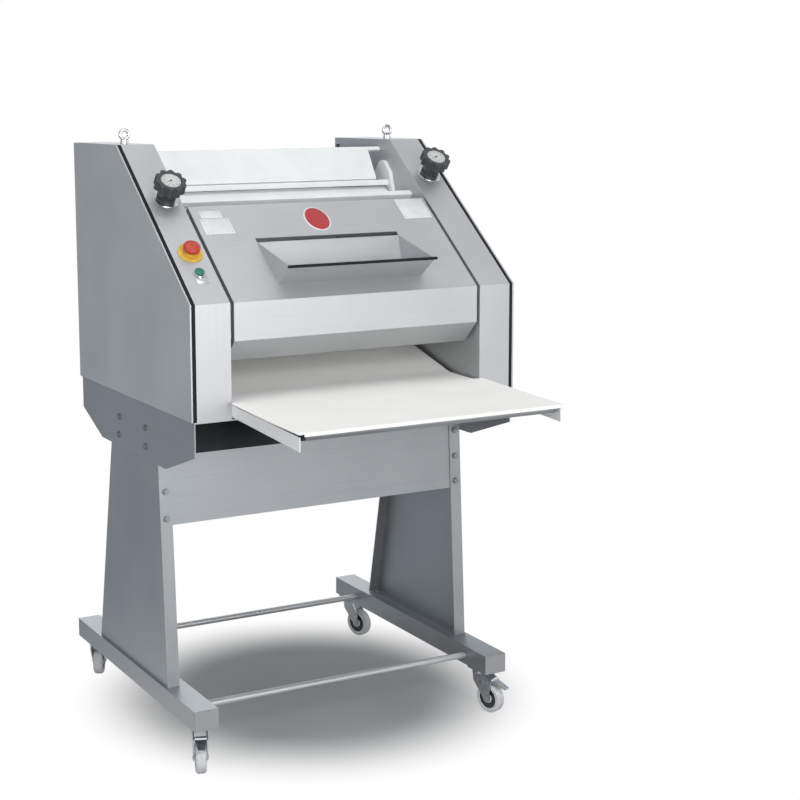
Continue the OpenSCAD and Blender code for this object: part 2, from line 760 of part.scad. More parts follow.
module wheel() translate([0, -caster_trail, wheel_r]) rotate([0, 90, 0]) rotate_extrude($fn = 64) polygon([
  [axle_r + run, -wheel_width / 2], [12, -wheel_width / 2], [12, 4 - wheel_width / 2],
  [wheel_r - 12, 4 - wheel_width / 2], [wheel_r - 12, -wheel_width / 2],
  [wheel_r - wheel_c, -wheel_width / 2], [wheel_r, wheel_c - wheel_width / 2],
  [wheel_r, wheel_width / 2 - wheel_c], [wheel_r - wheel_c, wheel_width / 2],
  [wheel_r - 12, wheel_width / 2], [wheel_r - 12, wheel_width / 2 - 4],
  [12, wheel_width / 2 - 4], [12, wheel_width / 2], [axle_r + run, wheel_width / 2]]);

module pedal() difference() {
  union() {
    bar(pedal_c, 6, -fork_in + 1, fork_in - 1);
    intersection() {
      across(-pedal_half, pedal_half) polygon([
        pedal_c + [0, 2], pedal_c + [-pedal_reach, -10], pedal_c + [-pedal_reach, -14], pedal_c + [0, -3]]);
      linear_extrude(caster_height) polygon([
        [-pedal_half, pedal_c[0] + 1], [pedal_half, pedal_c[0] + 1], [pedal_half, pedal_c[0] - 12],
        [pedal_tip, pedal_c[0] - pedal_reach], [-pedal_tip, pedal_c[0] - pedal_reach],
        [-pedal_half, pedal_c[0] - 12]]);
    }
  }
  bar(pedal_c, 3 + run, -fork_in, fork_in);
}

module front_left_fork() color("silver") from_front() at_caster(-stem_x, stem_front, turn_fl) fork(true);

module front_right_fork() color("silver") from_front() at_caster(stem_x, stem_front, turn_fr) fork(true);

module rear_left_fork() color("silver") from_front() at_caster(-stem_x, stem_rear, turn_rl) fork(false);

module rear_right_fork() color("silver") from_front() at_caster(stem_x, stem_rear, turn_rr) fork(false);

module front_left_wheel() color("gray") from_front() at_caster(-stem_x, stem_front, turn_fl) wheel();

module front_right_wheel() color("gray") from_front() at_caster(stem_x, stem_front, turn_fr) wheel();

module rear_left_wheel() color("gray") from_front() at_caster(-stem_x, stem_rear, turn_rl) wheel();

module rear_right_wheel() color("gray") from_front() at_caster(stem_x, stem_rear, turn_rr) wheel();

module left_brake_pedal() color("silver") from_front() at_caster(-stem_x, stem_front, turn_fl) pedal();

module right_brake_pedal() color("silver") from_front() at_caster(stem_x, stem_front, turn_fr) pedal();

left_foot_beam();
right_foot_beam();
foot_end_caps();
tie_rods();
left_leg();
right_leg();
cross_panel();
stand_bolts();
left_base_plate();
right_base_plate();
base_floor();
base_bolts();
left_side_frame();
right_side_frame();
left_band();
right_band();
gaskets();
left_side_cover();
right_side_cover();
rear_cover();
eye_bolts();
guard();
feed_tray();
infeed_chute();
infeed_cheeks();
front_sheeting_roller();
rear_sheeting_roller();
moulding_belt();
upper_belt_roller();
front_belt_roller();
drive_roller();
pressure_board();
roller_bearings();
gear_motor();
motor_pulley();
drive_belt();
left_knob();
right_knob();
left_dial();
right_dial();
knob_flanges();
stop_base();
stop_button();
start_bezel();
start_button();
table_tray();
table_felt();
table_rails();
caster_plates();
front_left_fork();
front_right_fork();
rear_left_fork();
rear_right_fork();
front_left_wheel();
front_right_wheel();
rear_left_wheel();
rear_right_wheel();
left_brake_pedal();
right_brake_pedal();
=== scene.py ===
# Baguette moulder on a wheeled stand: finishes, felt, dials, plates and a pale studio.
import json
import math

import bmesh
import bpy
from mathutils import Matrix, Vector, noise


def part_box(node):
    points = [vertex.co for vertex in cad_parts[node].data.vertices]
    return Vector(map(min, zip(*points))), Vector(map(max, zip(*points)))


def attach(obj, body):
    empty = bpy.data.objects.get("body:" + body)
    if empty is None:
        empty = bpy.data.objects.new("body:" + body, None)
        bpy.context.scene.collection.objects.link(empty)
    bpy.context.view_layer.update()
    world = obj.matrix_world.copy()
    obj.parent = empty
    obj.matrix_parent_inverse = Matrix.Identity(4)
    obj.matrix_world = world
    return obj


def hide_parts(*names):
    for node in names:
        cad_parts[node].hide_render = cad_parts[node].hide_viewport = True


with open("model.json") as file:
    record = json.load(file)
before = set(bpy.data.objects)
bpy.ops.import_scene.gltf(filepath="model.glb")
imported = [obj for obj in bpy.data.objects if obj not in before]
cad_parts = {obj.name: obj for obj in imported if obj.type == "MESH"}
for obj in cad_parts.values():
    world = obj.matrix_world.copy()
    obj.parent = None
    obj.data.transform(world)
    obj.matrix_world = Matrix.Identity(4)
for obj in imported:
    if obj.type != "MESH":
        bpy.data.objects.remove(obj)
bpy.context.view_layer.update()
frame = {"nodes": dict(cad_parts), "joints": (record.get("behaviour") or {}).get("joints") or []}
nodes = frame["nodes"]
joints = {j["name"]: j for j in frame["joints"]}
MM = 0.001

# Main lines of the machine, in metres, as the solids have them
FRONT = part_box("left_band")[0].y
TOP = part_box("left_band")[1].z
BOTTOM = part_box("left_band")[0].z
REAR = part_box("rear_cover")[1].y
SLOPE_SHARE = 0.5646  # of the housing's height
ROOF_DEPTH = 302 * MM
RISE = (TOP - BOTTOM) * SLOPE_SHARE
TILT = math.atan2(RISE, REAR - FRONT - ROOF_DEPTH)
# Frame on the sloping front: x across, y up the slope from the fold, z off the sheet
SLOPE = Matrix.Translation((0, FRONT, TOP - RISE)) @ Matrix.Rotation(TILT, 4, "X")
# Places on it, and the height of a knob's face off it, in millimetres
LEFT_KNOB = (-366, 352)
RIGHT_KNOB = (384, 412)
STOP = (-369, 165)
START = (-370, 99)
KNOB_TOP = 57
CASTERS = ("front_left", "front_right", "rear_left", "rear_right")


def colour(code):
    """Linear colour from an sRGB hex value."""
    parts = [int(code[i:i + 2], 16) / 255 for i in (1, 3, 5)]
    return tuple(c / 12.92 if c <= 0.04045 else ((c + 0.055) / 1.055) ** 2.4 for c in parts) + (1.0,)


def add(tree, kind, feeds=None, **settings):
    """One node with its settings; feeds gives an input its value or another node's output."""
    made = tree.nodes.new("ShaderNode" + kind)
    for key, value in settings.items():
        setattr(made, key, value)
    for key, value in (feeds or {}).items():
        if isinstance(value, bpy.types.NodeSocket):
            tree.links.new(value, made.inputs[key])
        else:
            made.inputs[key].default_value = value
    return made


def start(name, **sockets):
    """A new material: its tree, Object coordinates and shader, with constants on the shader."""
    mat = bpy.data.materials.new(name)
    mat.use_nodes = True
    tree = mat.node_tree
    tree.nodes.clear()
    place = add(tree, "TexCoord").outputs["Object"]
    shader = add(tree, "BsdfPrincipled")
    for key, value in sockets.items():
        shader.inputs[key.replace("_", " ")].default_value = value
    add(tree, "OutputMaterial", {"Surface": shader.outputs[0]})
    return mat, tree, place, shader


def per_mm(*sizes):
    """Pattern scale for features of these sizes in millimetres."""
    return tuple(1 / (s * MM) for s in sizes)


def brushed_stainless(name, grain, light, dark, rough):
    """Cold-rolled stainless sheet finished with an abrasive belt along one axis. The scratches are
    far finer than a pixel, so they are drawn 3 mm wide and 300 mm long, as faint streaks in gloss
    and tone, over a soft cloudiness about a hand wide. They scatter a fifth of the light evenly,
    so the sheet is never a full mirror."""
    wide, long, cloud = 3.0, 300.0, 180.0
    mat, tree, place, shader = start(name, Metallic=0.8)
    scale = [wide, wide, wide]
    scale["xyz".index(grain)] = long
    turned = add(tree, "Mapping", {"Vector": place, "Scale": per_mm(*scale)})
    streaks = add(tree, "TexNoise", {"Vector": turned.outputs[0], "Scale": 1.0, "Detail": 3.0})
    clouds = add(tree, "TexNoise", {"Vector": place, "Scale": per_mm(cloud)[0], "Detail": 2.0})
    both = add(tree, "Math", {0: streaks.outputs["Fac"], 1: clouds.outputs["Fac"]}, operation="ADD")
    tone = add(tree, "MapRange", {"Value": both.outputs[0], "From Min": 0.7, "From Max": 1.3})
    base = add(tree, "Mix", {0: tone.outputs[0], 6: colour(dark), 7: colour(light)}, data_type="RGBA")
    gloss = add(tree, "MapRange", {"Value": both.outputs[0], "From Min": 0.7, "From Max": 1.3,
                                   "To Min": rough - 0.04, "To Max": rough + 0.05})
    bump = add(tree, "Bump", {"Height": streaks.outputs["Fac"], "Strength": 0.02,
                              "Distance": 0.1 * MM})
    tree.links.new(base.outputs[2], shader.inputs["Base Color"])
    tree.links.new(gloss.outputs[0], shader.inputs["Roughness"])
    tree.links.new(bump.outputs[0], shader.inputs["Normal"])
    return mat


def mottled(name, light, dark, size, rough, spread=0.06, relief=0.02, depth=0.2, **sockets):
    """A finish with a grain of one size in millimetres, in tone, gloss and relief."""
    mat, tree, place, shader = start(name, **sockets)
    grain = add(tree, "TexNoise", {"Vector": place, "Scale": per_mm(size)[0], "Detail": 4.0})
    tone = add(tree, "MapRange", {"Value": grain.outputs["Fac"], "From Min": 0.35, "From Max": 0.65})
    base = add(tree, "Mix", {0: tone.outputs[0], 6: colour(dark), 7: colour(light)}, data_type="RGBA")
    gloss = add(tree, "MapRange", {"Value": grain.outputs["Fac"], "From Min": 0.3, "From Max": 0.7,
                                   "To Min": rough - spread, "To Max": rough + spread})
    bump = add(tree, "Bump", {"Height": grain.outputs["Fac"], "Strength": relief,
                              "Distance": depth * MM})
    tree.links.new(base.outputs[2], shader.inputs["Base Color"])
    tree.links.new(gloss.outputs[0], shader.inputs["Roughness"])
    tree.links.new(bump.outputs[0], shader.inputs["Normal"])
    return mat


def woollen_felt(name):
    """Pressed wool felt on a plain-woven ground: matt, with a short nap, faint threads 1.2 mm apart
    that are drawn 3 mm apart to show, loose fibres and slightly uneven bleaching."""
    thread, fibre, patch = 3, 1.5, 120
    mat, tree, place, shader = start(name, Roughness=0.95, Sheen_Weight=0.25, Sheen_Roughness=0.5)
    nap = add(tree, "TexNoise", {"Vector": place, "Scale": per_mm(fibre)[0], "Detail": 5.0})
    warp = add(tree, "TexWave", {"Vector": place, "Scale": per_mm(thread * math.tau)[0],
                                "Distortion": 1.2}, bands_direction="X")
    weft = add(tree, "TexWave", {"Vector": place, "Scale": per_mm(thread * math.tau)[0],
                                "Distortion": 1.2}, bands_direction="Y")
    weave = add(tree, "Math", {0: warp.outputs["Fac"], 1: weft.outputs["Fac"]}, operation="MULTIPLY")
    rough = add(tree, "Math", {0: weave.outputs[0], 1: nap.outputs["Fac"]}, operation="ADD")
    bleach = add(tree, "TexNoise", {"Vector": place, "Scale": per_mm(patch)[0], "Detail": 3.0})
    tone = add(tree, "Math", {0: bleach.outputs["Fac"], 1: nap.outputs["Fac"]}, operation="ADD")
    share = add(tree, "MapRange", {"Value": tone.outputs[0], "From Min": 0.7, "From Max": 1.3})
    base = add(tree, "Mix", {0: share.outputs[0], 6: colour("#ebebe6"), 7: colour("#f1f1ee")},
               data_type="RGBA")
    bump = add(tree, "Bump", {"Height": rough.outputs[0], "Strength": 0.25, "Distance": 0.4 * MM})
    tree.links.new(base.outputs[2], shader.inputs["Base Color"])
    tree.links.new(bump.outputs[0], shader.inputs["Normal"])
    return mat


# Light and dark tones of the thin sheets
STEEL = ("#babcbe", "#b1b3b5")
stainless_across = brushed_stainless("brushed_stainless_across", "x", *STEEL, 0.5)
stainless_upright = brushed_stainless("brushed_stainless_upright", "z", *STEEL, 0.5)
# The stand is of thicker plate with a coarser, darker satin
SATIN = ("#9a9da0", "#909497")
satin_across = brushed_stainless("satin_stainless_across", "x", *SATIN, 0.42)
satin_upright = brushed_stainless("satin_stainless_upright", "z", *SATIN, 0.42)
satin_lengthwise = brushed_stainless("satin_stainless_lengthwise", "y", *SATIN, 0.42)
# Machine-polished stainless rings, rivets and lifting eyes: bright, small soft scratches
bright_steel = mottled("polished_stainless", "#c6c8ca", "#b8bbbe", 4, 0.22, Metallic=1.0)
# Plain stainless fasteners, tumbled and dull
bolt_steel = mottled("tumbled_stainless", "#8b8f92", "#7a7e82", 3, 0.34, Metallic=1.0)
# Passivated zinc on pressed steel: bluish with a faint spangle
zinc = mottled("zinc_plated_steel", "#b2b7bb", "#a3a9ae", 9, 0.32, 0.06, Metallic=1.0)
# Glass-filled nylon, moulded: near black with a fine spark-eroded grain
black_nylon = mottled("black_moulded_nylon", "#383b3d", "#2b2e30", 1.2, 0.42, 0.06, 0.15)
# Extruded EPDM: black, dull, slightly dusty
black_rubber = mottled("black_epdm_rubber", "#1b1c1d", "#101112", 3, 0.7, 0.08, 0.1,
                       Specular_IOR_Level=0.2)
# Turned and milled polyethylene: clean white with a waxy gloss
white_plastic = mottled("white_polyethylene", "#e0e2e2", "#dbdddd", 60, 0.42, 0.04, 0.02, 0.1)
# Natural polyethylene board: slightly ivory and duller
board = mottled("natural_polyethylene", "#e9e6dc", "#dedacd", 30, 0.5, 0.05)
# Printed card under varnish: the dial faces, pale grey and even with a clear gloss
dial_card = mottled("varnished_dial_card", "#c2c4c2", "#babcb8", 20, 0.3, 0.04, 0.0)
# Black screen ink on the dials and scale rings: flat and half dull
dial_ink = mottled("black_screen_ink", "#1d1d1f", "#141416", 2, 0.5, 0.05, 0.0)
# Bead-blasted stainless plate: pale, milky and even, with hardly any mirror, the table's rails
blasted_steel = mottled("bead_blasted_stainless", "#e6e8e8", "#dfe1e2", 6, 0.55, 0.05, Metallic=0.45)
# Turned aluminium: fine ring marks, brighter than the steel
roller_metal = brushed_stainless("turned_aluminium", "x", "#d5d7d9", "#c6c9cc", 0.3)
# Hammered enamel on cast aluminium: grey, dimpled, half gloss
motor_enamel = mottled("hammered_grey_enamel", "#6d757c", "#5d656c", 5, 0.4, 0.05, 0.3, 0.4)
# Oiled cast iron: dark, grainy, low gloss
cast_iron = mottled("oiled_cast_iron", "#45484b", "#35383a", 2, 0.45, 0.1, 0.2)
# Moulded ABS in signal colours: glossy with a trace of grain
yellow_abs = mottled("yellow_abs", "#d6b045", "#cca539", 12, 0.34, 0.04)
red_abs = mottled("red_abs", "#b03825", "#a63120", 12, 0.36, 0.04)
green_abs = mottled("green_abs", "#1f7059", "#18644e", 8, 0.32, 0.04)
# Thermoplastic rubber tread: light grey, matt, slightly scuffed
grey_tread = mottled("grey_thermoplastic_rubber", "#ccced0", "#bfc2c4", 8, 0.62, 0.08, 0.1)
# Polypropylene wheel discs: black and half matt
black_disc = mottled("black_polypropylene", "#2a2b2d", "#1f2022", 2, 0.5, 0.06, 0.1)
# Fired enamel on thin sheet: smooth and even with a soft gloss, the plates and oval on the guard
white_enamel = mottled("white_enamel", "#d3d3d4", "#cccdce", 30, 0.3, 0.04)
red_enamel = mottled("red_enamel", "#a62a30", "#a0272d", 25, 0.34, 0.04)
felt = woollen_felt("woollen_felt")


def give(piece, kind, **settings):
    """One modifier with its settings."""
    made = piece.modifiers.new(kind.lower(), kind)
    for key, value in settings.items():
        setattr(made, key, value)


def round_edges(piece, width, segments=2, fold=35):
    """Rounds the edges that fold by more than an angle in degrees, by a width in millimetres."""
    give(piece, "BEVEL", width=width * MM, segments=segments, limit_method="ANGLE",
         angle_limit=math.radians(fold))


def thicken(piece, depth):
    """Gives cloth its thickness in millimetres, inwards, and soft edges."""
    give(piece, "SOLIDIFY", thickness=depth * MM, offset=-1.0, use_even_offset=True)
    round_edges(piece, 0.3 * depth, 3, 50)


def dress(mat, width, *names):
    """Gives solids their finish and rounds their edges by a width in millimetres."""
    for name in names:
        solid = nodes[name]
        solid.data.materials.clear()
        solid.data.materials.append(mat)
        give(solid, "WELD", merge_threshold=0.01 * MM)
        give(solid, "DECIMATE", decimate_type="DISSOLVE", angle_limit=math.radians(0.5))
        round_edges(solid, width)
        give(solid, "WEIGHTED_NORMAL", mode="FACE_AREA", weight=100)


dress(stainless_across, 0.7, "guard", "feed_tray", "base_floor", "rear_cover", "tie_rods")
dress(stainless_upright, 0.7, "left_band", "right_band", "left_side_cover", "right_side_cover",
      "left_side_frame", "right_side_frame")
dress(satin_lengthwise, 0.7, "left_base_plate", "right_base_plate")
dress(satin_across, 0.7, "cross_panel")
dress(satin_upright, 0.7, "left_leg", "right_leg")
dress(satin_lengthwise, 1.2, "left_foot_beam", "right_foot_beam", "foot_end_caps")
dress(bolt_steel, 0.5, "stand_bolts", "base_bolts")
dress(zinc, 0.6, "caster_plates", "left_brake_pedal", "right_brake_pedal")
dress(zinc, 0.6, *(c + "_fork" for c in CASTERS))
dress(grey_tread, 1.0, *(c + "_wheel" for c in CASTERS))
dress(black_nylon, 1.0, "left_knob", "right_knob", "knob_flanges")
dress(black_rubber, 0.5, "gaskets", "drive_belt")
dress(white_plastic, 0.8, "infeed_chute", "infeed_cheeks", "front_sheeting_roller",
      "rear_sheeting_roller")
dress(dial_card, 0.3, "left_dial", "right_dial")
dress(roller_metal, 0.8, "upper_belt_roller", "front_belt_roller", "drive_roller")
dress(board, 0.8, "pressure_board")
dress(motor_enamel, 1.5, "gear_motor")
dress(cast_iron, 0.8, "roller_bearings", "motor_pulley")
dress(yellow_abs, 0.6, "stop_base")
dress(bright_steel, 0.6, "start_bezel", "eye_bolts")


def finish_piece(name, bm, mat, body, place=None, sharp=35):
    """A modelled piece: closed, turned the right way, put in place and set to ride on its body."""
    bmesh.ops.remove_doubles(bm, verts=bm.verts, dist=0.001 * MM)
    bmesh.ops.recalc_face_normals(bm, faces=bm.faces)
    bmesh.ops.transform(bm, matrix=place or Matrix(), verts=bm.verts)
    for face in bm.faces:
        face.smooth = True
    for line in bm.edges:
        line.smooth = line.calc_face_angle(0) < math.radians(sharp)
    mesh = bpy.data.meshes.new(name)
    bm.to_mesh(mesh)
    bm.free()
    mesh.materials.append(mat)
    made = bpy.data.objects.new(name, mesh)
    bpy.context.scene.collection.objects.link(made)
    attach(made, body)
    return made


def turn(bm, outline, steps=48):
    """Turns an outline of (radius, height) in millimetres round the z axis."""
    spots = [bm.verts.new((r * MM, 0, z * MM)) for r, z in outline]
    lines = [bm.edges.new(pair) for pair in zip(spots, spots[1:])]
    bmesh.ops.spin(bm, geom=spots + lines, axis=(0, 0, 1), cent=(0, 0, 0), angle=math.tau,
                   steps=steps, use_merge=True)


def slab(bm, low, high, edge=0.0):
    """A block between two corners in millimetres, with its edges rounded."""
    low, high = Vector(low) * MM, Vector(high) * MM
    made = bmesh.ops.create_cube(bm, size=1.0)["verts"]
    size = Matrix.Diagonal((*(high - low), 1.0))
    bmesh.ops.transform(bm, matrix=Matrix.Translation((low + high) / 2) @ size, verts=made)
    if edge:
        lines = {line for spot in made for line in spot.link_edges}
        bmesh.ops.bevel(bm, geom=list(lines), offset=edge * MM, segments=2, profile=0.5,
                        affect="EDGES", material=-1)
    return made


def tick(bm, half, inner, outer, low, high, angle):
    """A mark on a scale, between two radii and two heights in millimetres, turned to its place."""
    made = slab(bm, (-half, inner, low), (half, outer, high))
    bmesh.ops.rotate(bm, verts=made, cent=(0, 0, 0), matrix=Matrix.Rotation(angle, 3, "Z"))


def peg(bm, low, top, tall, sides=24):
    """An upright peg round the middle: its lower and upper radius and height in millimetres."""
    return bmesh.ops.create_cone(bm, cap_ends=True, segments=sides, radius1=low * MM,
                                 radius2=top * MM, depth=tall * MM)["verts"]


def prism(bm, outline, x0, x1):
    """An outline of (y, z) in millimetres from the housing's lower front edge, drawn from x0 to x1."""
    face = bm.faces.new([bm.verts.new((x0 * MM, FRONT + y * MM, BOTTOM + z * MM))
                         for y, z in outline])
    grown = bmesh.ops.extrude_face_region(bm, geom=[face])["geom"]
    bmesh.ops.translate(bm, vec=((x1 - x0) * MM, 0, 0),
                        verts=[g for g in grown if isinstance(g, bmesh.types.BMVert)])


def at_slope(x, s, off=0.0):
    """A place on the slope, in millimetres."""
    return SLOPE @ Matrix.Translation((x * MM, s * MM, off * MM))


def stretch(bm, lines, move):
    """Carries a row of edges along by a move in metres and gives the new row."""
    grown = bmesh.ops.extrude_edge_only(bm, edges=lines)["geom"]
    bmesh.ops.translate(bm, vec=move, verts=[g for g in grown if isinstance(g, bmesh.types.BMVert)])
    return [g for g in grown if isinstance(g, bmesh.types.BMEdge) and len(g.link_faces) == 1
            and abs(g.verts[0].co.x - g.verts[1].co.x) > 1e-6]


def wrap(bm, lines, centre, angle, steps):
    """Carries a row of edges round a line across the machine and gives the new row."""
    spots = list({spot for line in lines for spot in line.verts})
    last = bmesh.ops.spin(bm, geom=spots + lines, axis=(1, 0, 0), cent=centre, angle=angle,
                          steps=steps)
    return [g for g in last["geom_last"] if isinstance(g, bmesh.types.BMEdge)]


def row(bm, places, y, z):
    """A row of edges across the machine."""
    spots = [bm.verts.new((x, y, z)) for x in places]
    return [bm.edges.new(pair) for pair in zip(spots, spots[1:])]


def spread(half, step):
    """Even places from -half to half, given in millimetres, in metres."""
    count = round(2 * half / step)
    return [(-half + 2 * half * i / count) * MM for i in range(count + 1)]


# Delivery table: a steel sheet from inside the mouth, down the incline and over the table, hemmed
# over at the front with a lip that turns down and back, and its felt in one cloth, which runs out
# over the rails and round the hem. In millimetres, from the housing's lower front edge
FELT, SHEET = 3, 1.5
SHEET_HALF, FELT_HALF, NOSE_HALF = 322, 320, 335
CORNER_R = 12
HEM_R = 5
HEM_TURN = math.radians(120)
HEM_OUT, HEM_UP = 345, 28
LIP_BACK, LIP_DROP, LIP_INSET = 7, 12, 8
MOUTH_OUT = 8
BEND_IN, BEND_UP = 120, 37
INNER_IN, INCLINE = 300, 0.262
RAIL_OUT, RAIL_UP, RAIL_RISE = 335, 22, 14
RIPPLE = 0.35
hem = Vector((0, FRONT + (HEM_R - HEM_OUT) * MM, BOTTOM + (HEM_UP - HEM_R) * MM))
bend = Vector((0, FRONT + BEND_IN * MM, BOTTOM + BEND_UP * MM))
inner = Vector((0, FRONT + INNER_IN * MM, bend.z + INCLINE * (INNER_IN - BEND_IN) * MM))
brow = hem + Vector((0, 0, HEM_R * MM))
mouth = brow + (bend - brow) * (FRONT - MOUTH_OUT * MM - brow.y) / (bend.y - brow.y)
down = Vector((0, 0, -FELT * MM))

bm = bmesh.new()
panel = row(bm, spread(SHEET_HALF, 46), *(brow + down).yz)
lip = wrap(bm, panel, hem, HEM_TURN, 8)
lip = stretch(bm, lip, Vector((0, LIP_BACK, -LIP_DROP)) * MM)
for spot in {spot for line in lip for spot in line.verts}:
    spot.co.x *= 1 - LIP_INSET / SHEET_HALF
for first, last in ((brow, bend), (bend, inner)):
    panel = stretch(bm, panel, last - first)
# Its finish is the darker satin steel: a painted shade for the lip, which sits in shadow under the
# nose
table_sheet = finish_piece("table_sheet", bm, satin_across, "frame", sharp=30)
give(table_sheet, "SOLIDIFY", thickness=SHEET * MM, offset=-1.0)
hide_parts("table_tray")

bm = bmesh.new()
panel = row(bm, [-NOSE_HALF * MM, *spread(FELT_HALF, 20), NOSE_HALF * MM], *brow.yz)
wrap(bm, panel, hem, HEM_TURN, 10)
shelf = brow + (mouth - brow).normalized() * CORNER_R * MM
for first, last, count in ((brow, shelf, 6), (shelf, mouth, 15), (mouth, bend, 6), (bend, inner, 9)):
    if first == mouth:
        panel = [line for line in panel
                 if max(abs(spot.co.x) for spot in line.verts) < (FELT_HALF + 1) * MM]
    for i in range(count):
        panel = stretch(bm, panel, (last - first) / count)
for spot in bm.verts:
    # behind its front edge the cloth lies slightly uneven
    if spot.co.y > brow.y + 10 * MM:
        spot.co.z += RIPPLE * MM * (noise.noise(spot.co * 14) - 0.5)
    # it rides up over the rails, which rise towards the housing
    if abs(spot.co.x) > (FELT_HALF - 1) * MM and brow.y + MM < spot.co.y < mouth.y + MM:
        along = (spot.co.y - FRONT + RAIL_OUT * MM) / (RAIL_OUT * MM)
        rail_top = BOTTOM + (RAIL_UP + RAIL_RISE * along) * MM
        spot.co.z = max(spot.co.z, rail_top + (FELT + 0.3) * MM)
    # and its front corners are round
    if abs(spot.co.x) > (FELT_HALF + 1) * MM and spot.co.y < shelf.y:
        back = min(CORNER_R * MM, shelf.y - spot.co.y)
        inset = CORNER_R * MM - math.sqrt((CORNER_R * MM) ** 2 - back ** 2)
        spot.co.x -= math.copysign(inset, spot.co.x)
table_cloth = finish_piece("table_cloth", bm, felt, "frame", sharp=180)
thicken(table_cloth, FELT)
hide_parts("table_felt")

# Rails of the table: thin plates in two lengths with a joint between them, which stand clear of the
# felt, a ledge under the sheet and spacers to the side frames
RAIL_OUTSIDE, RAIL_INSIDE, LEDGE_INSIDE, FRAME_INSIDE = 330, 328, 312, 332
FRONT_LENGTH = ((-335, -13), (-335, 18), (-151.8, 25.7), (-151.8, -3.2))
REAR_LENGTH = ((-150.2, -3.1), (-150.2, 25.7), (0, 32), (120, 32), (120, 5), (0, 5))
LEDGE = ((-328, 23.4), (120, 32.2), (120, 30.2), (-328, 21.4))
SPACERS_IN, SPACER_UP, SPACER_R, SPACER_LONG = (40, 90), 20, 8, 4
bm = bmesh.new()
for way in (-1, 1):
    prism(bm, FRONT_LENGTH, RAIL_OUTSIDE * way, RAIL_INSIDE * way)
    prism(bm, REAR_LENGTH, RAIL_OUTSIDE * way, RAIL_INSIDE * way)
    prism(bm, LEDGE, RAIL_INSIDE * way, LEDGE_INSIDE * way)
    for y in SPACERS_IN:
        x = (FRAME_INSIDE - SPACER_LONG / 2) * way
        spot = Matrix.Translation((x * MM, FRONT + y * MM, BOTTOM + SPACER_UP * MM))
        bmesh.ops.transform(bm, verts=peg(bm, SPACER_R, SPACER_R, SPACER_LONG),
                            matrix=spot @ Matrix.Rotation(math.pi / 2, 4, "Y"))
side_rails = finish_piece("table_side_rails", bm, blasted_steel, "frame")
round_edges(side_rails, 0.4, fold=30)
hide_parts("table_rails")

# Felt moulding belt round its three rollers
BELT = 4
BELT_HALF = 310
ROLLER_R, ROLLER_GAP = 36, 0.3
BELT_ROLLERS = ((335, 149), (620, 149), (520, 284))
LOOP_R = (ROLLER_R + ROLLER_GAP + BELT) * MM
centres = [Vector((0, FRONT + y * MM, BOTTOM + z * MM)) for y, z in BELT_ROLLERS]
runs = [b - a for a, b in zip(centres, centres[1:] + centres[:1])]
offs = [Vector((0, r.z, -r.y)).normalized() * LOOP_R for r in runs]
bm = bmesh.new()
edge_row = row(bm, spread(BELT_HALF, 40), *(centres[0] + offs[0]).yz)
for i, run in enumerate(runs):
    for k in range(8):
        edge_row = stretch(bm, edge_row, run / 8)
    edge_row = wrap(bm, edge_row, centres[(i + 1) % 3], run.angle(runs[(i + 1) % 3]), 14)
moulding_cloth = finish_piece("moulding_cloth", bm, felt, "frame", sharp=180)
thicken(moulding_cloth, BELT)
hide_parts("moulding_belt")

# Stop head: a mushroom with a rounded rim and a shallow dome
bm = bmesh.new()
turn(bm, [(0, -20), (8, -20), (8, 13), (17, 13), (19.2, 13.6), (20, 15), (20, 19), (19.4, 22),
          (17.5, 24.4), (14, 26), (9, 26.8), (0, 27)])
stop_head = finish_piece("stop_head", bm, red_abs, "stop_button", at_slope(*STOP))
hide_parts("stop_button")

# Start button: a flush cap with a rounded rim and a dished face
bm = bmesh.new()
turn(bm, [(0, -20), (11, -20), (11, 6.6), (10.6, 7.6), (9.8, 8), (5, 7.6), (0, 7.5)], 40)
start_cap = finish_piece("start_cap", bm, green_abs, "start_button", at_slope(*START))
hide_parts("start_button")

# Plain plate under the start button
bm = bmesh.new()
slab(bm, (-384, 66, 0), (-356, 90, 0.9), 0.3)
finish_piece("start_plate", bm, bright_steel, "frame", SLOPE)

# Scale rings under the knobs, with plain marks, every other one longer
SCALE_MARKS = 24
for side, (x, s) in (("left", LEFT_KNOB), ("right", RIGHT_KNOB)):
    bm = bmesh.new()
    turn(bm, [(12, 0.2), (12, 1.4), (30.2, 1.4), (31, 0.6), (31, 0.2), (12, 0.2)], 64)
    finish_piece(side + "_scale_ring", bm, bright_steel, "frame", at_slope(x, s))
    bm = bmesh.new()
    for i in range(SCALE_MARKS):
        tick(bm, 0.4, 26.2 if i % 2 else 25, 29.4, 1.3, 1.55, i * math.tau / SCALE_MARKS)
    finish_piece(side + "_scale_marks", bm, dial_ink, "frame", at_slope(x, s))

# Dial faces: ten numbers with five ticks to each, and a pointer, in millimetres
DIAL_NUMBERS = 10
DIAL_TICKS = 5 * DIAL_NUMBERS
NUMBER_SIZE, NUMBER_R, NUMBER_RELIEF = 5, 14.6, 0.08
POINTER_TURN = math.radians(115)


